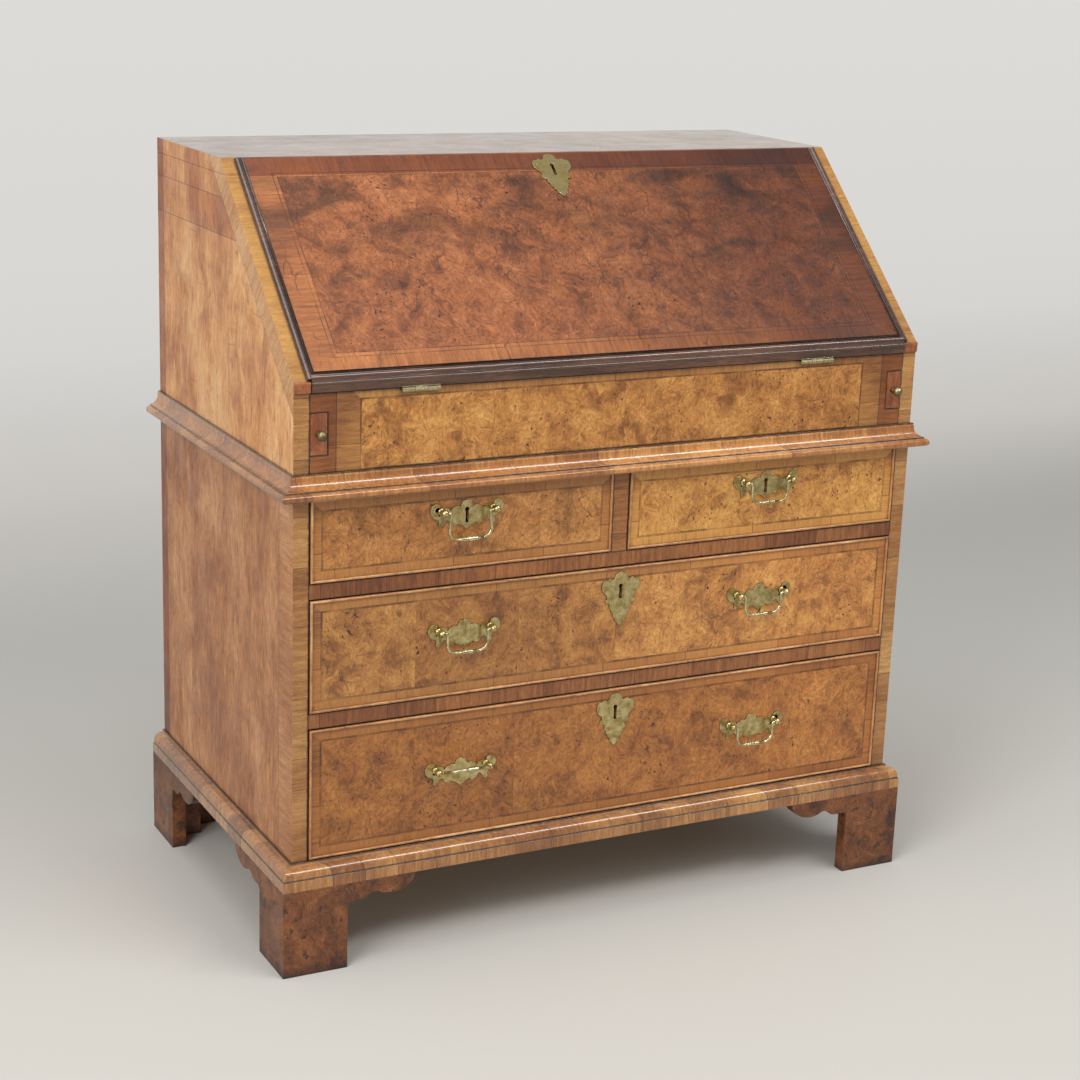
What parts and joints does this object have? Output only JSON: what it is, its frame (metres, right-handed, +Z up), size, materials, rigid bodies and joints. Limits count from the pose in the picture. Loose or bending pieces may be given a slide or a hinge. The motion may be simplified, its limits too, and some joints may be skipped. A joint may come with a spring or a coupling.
{
  "type": "writing bureau",
  "caption": "Walnut writing bureau with a sloping hinged fall, pull-out lopers, fitted interior and drawers with swinging brass bails, on bracket feet.",
  "frame": {"origin": "on the floor, under the middle of the whole bureau's bounding box", "axes": "+X to the viewer's right as one faces the drawers, +Y to the back, +Z up"},
  "size_m": [0.962, 0.5678, 1.019],
  "materials": {
    "walnut": "polished figured walnut veneer with vertical grain",
    "burr_walnut": "polished burr walnut with feather and cross banding",
    "cross_walnut": "polished cross-grained walnut",
    "dark_walnut": "dark polished walnut",
    "oak": "plain oak lining, waxed",
    "pine": "plain softwood boards, unfinished",
    "brass": "aged polished brass",
    "steel": "worn iron bolt"
  },
  "bodies": {
    "case": {"chest_side_left": "walnut", "chest_side_right": "walnut", "chest_bottom": "oak", "chest_top_board": "oak", "chest_backboards": "pine", "drawer_dividers": "cross_walnut", "drawer_muntin": "cross_walnut", "drawer_runners": "oak", "waist_moulding": "cross_walnut", "base_moulding": "cross_walnut", "foot_front_left": "dark_walnut", "foot_front_right": "dark_walnut", "foot_rear_left": "dark_walnut", "foot_rear_right": "dark_walnut", "desk_floor": "oak", "desk_side_left": "walnut", "desk_side_right": "walnut", "desk_top": "walnut", "desk_backboards": "pine", "writing_bed": "walnut", "front_fascia": "burr_walnut", "loper_guides": "oak", "interior_case": "oak", "pigeonhole_valances": "walnut", "case_hinge_leaves": "brass", "arris_mouldings": "dark_walnut"},
    "fall": {"fall_panel": "burr_walnut", "fall_moulding": "dark_walnut", "fall_hinge_leaves": "brass", "fall_escutcheon": "brass", "fall_lock": "steel"},
    "fall_bolt": {"fall_lock_bolt": "steel"},
    "left_loper": {"loper_left": "walnut", "loper_knob_left": "brass"},
    "right_loper": {"loper_right": "walnut", "loper_knob_right": "brass"},
    "cover": {"well_cover": "walnut"},
    "upper_left_drawer": {"upper_left_drawer_front": "burr_walnut", "upper_left_drawer_box": "oak", "upper_left_drawer_brasses": "brass"},
    "upper_right_drawer": {"upper_right_drawer_front": "burr_walnut", "upper_right_drawer_box": "oak", "upper_right_drawer_brasses": "brass"},
    "middle_drawer": {"middle_drawer_front": "burr_walnut", "middle_drawer_box": "oak", "middle_drawer_brasses": "brass"},
    "bottom_drawer": {"bottom_drawer_front": "burr_walnut", "bottom_drawer_box": "oak", "bottom_drawer_brasses": "brass"},
    "swinging_upper_left_bail": {"upper_left_bail": "brass"},
    "swinging_upper_right_bail": {"upper_right_bail": "brass"},
    "swinging_middle_left_bail": {"middle_left_bail": "brass"},
    "swinging_middle_right_bail": {"middle_right_bail": "brass"},
    "swinging_bottom_left_bail": {"bottom_left_bail": "brass"},
    "swinging_bottom_right_bail": {"bottom_right_bail": "brass"},
    "little_drawer_far_left": {"small_drawer_far_left": "walnut"},
    "little_drawer_left": {"small_drawer_left": "walnut"},
    "little_drawer_centre": {"small_drawer_centre": "walnut"},
    "little_drawer_right": {"small_drawer_right": "walnut"},
    "little_drawer_far_right": {"small_drawer_far_right": "walnut"}
  },
  "joints": [
    {"name": "fall_hinge", "type": "hinge", "parent": "case", "child": "fall", "pos_m": [0, -0.24465, 0.7605], "axis": [1, 0, 0], "range_deg": [0, 138.6]},
    {"name": "lock_bolt", "type": "slide", "parent": "fall", "child": "fall_bolt", "axis": [0, 0.7383, 0.6745], "range_m": [0, 0.008]},
    {"name": "well_cover_slide", "type": "slide", "parent": "case", "child": "cover", "axis": [0, 1, 0], "range_m": [0, 0.2]},
    {"name": "left_loper_slide", "type": "slide", "parent": "case", "child": "left_loper", "axis": [0, -1, 0], "range_m": [0, 0.29]},
    {"name": "right_loper_slide", "type": "slide", "parent": "case", "child": "right_loper", "axis": [0, -1, 0], "range_m": [0, 0.29]},
    {"name": "upper_left_drawer_slide", "type": "slide", "parent": "case", "child": "upper_left_drawer", "axis": [0, -1, 0], "range_m": [0, 0.38]},
    {"name": "upper_right_drawer_slide", "type": "slide", "parent": "case", "child": "upper_right_drawer", "axis": [0, -1, 0], "range_m": [0, 0.38]},
    {"name": "middle_drawer_slide", "type": "slide", "parent": "case", "child": "middle_drawer", "axis": [0, -1, 0], "range_m": [0, 0.38]},
    {"name": "bottom_drawer_slide", "type": "slide", "parent": "case", "child": "bottom_drawer", "axis": [0, -1, 0], "range_m": [0, 0.38]},
    {"name": "upper_left_bail_swing", "type": "hinge", "parent": "upper_left_drawer", "child": "swinging_upper_left_bail", "pos_m": [-0.2247, -0.25455, 0.5995], "axis": [-1, 0, 0], "range_deg": [-10, 112]},
    {"name": "upper_right_bail_swing", "type": "hinge", "parent": "upper_right_drawer", "child": "swinging_upper_right_bail", "pos_m": [0.2247, -0.25455, 0.5995], "axis": [-1, 0, 0], "range_deg": [-10, 112]},
    {"name": "middle_left_bail_swing", "type": "hinge", "parent": "middle_drawer", "child": "swinging_middle_left_bail", "pos_m": [-0.2247, -0.25455, 0.44], "axis": [-1, 0, 0], "range_deg": [-10, 112]},
    {"name": "middle_right_bail_swing", "type": "hinge", "parent": "middle_drawer", "child": "swinging_middle_right_bail", "pos_m": [0.2247, -0.25455, 0.44], "axis": [-1, 0, 0], "range_deg": [-10, 112]},
    {"name": "bottom_left_bail_swing", "type": "hinge", "parent": "bottom_drawer", "child": "swinging_bottom_left_bail", "pos_m": [-0.2247, -0.25455, 0.2495], "axis": [-1, 0, 0], "range_deg": [-112, 3]},
    {"name": "bottom_right_bail_swing", "type": "hinge", "parent": "bottom_drawer", "child": "swinging_bottom_right_bail", "pos_m": [0.2247, -0.25455, 0.2495], "axis": [-1, 0, 0], "range_deg": [-10, 112]},
    {"name": "little_drawer_far_left_slide", "type": "slide", "parent": "case", "child": "little_drawer_far_left", "axis": [0, -1, 0], "range_m": [0, 0.15]},
    {"name": "little_drawer_left_slide", "type": "slide", "parent": "case", "child": "little_drawer_left", "axis": [0, -1, 0], "range_m": [0, 0.15]},
    {"name": "little_drawer_centre_slide", "type": "slide", "parent": "case", "child": "little_drawer_centre", "axis": [0, -1, 0], "range_m": [0, 0.15]},
    {"name": "little_drawer_right_slide", "type": "slide", "parent": "case", "child": "little_drawer_right", "axis": [0, -1, 0], "range_m": [0, 0.15]},
    {"name": "little_drawer_far_right_slide", "type": "slide", "parent": "case", "child": "little_drawer_far_right", "axis": [0, -1, 0], "range_m": [0, 0.15]}
  ]
}
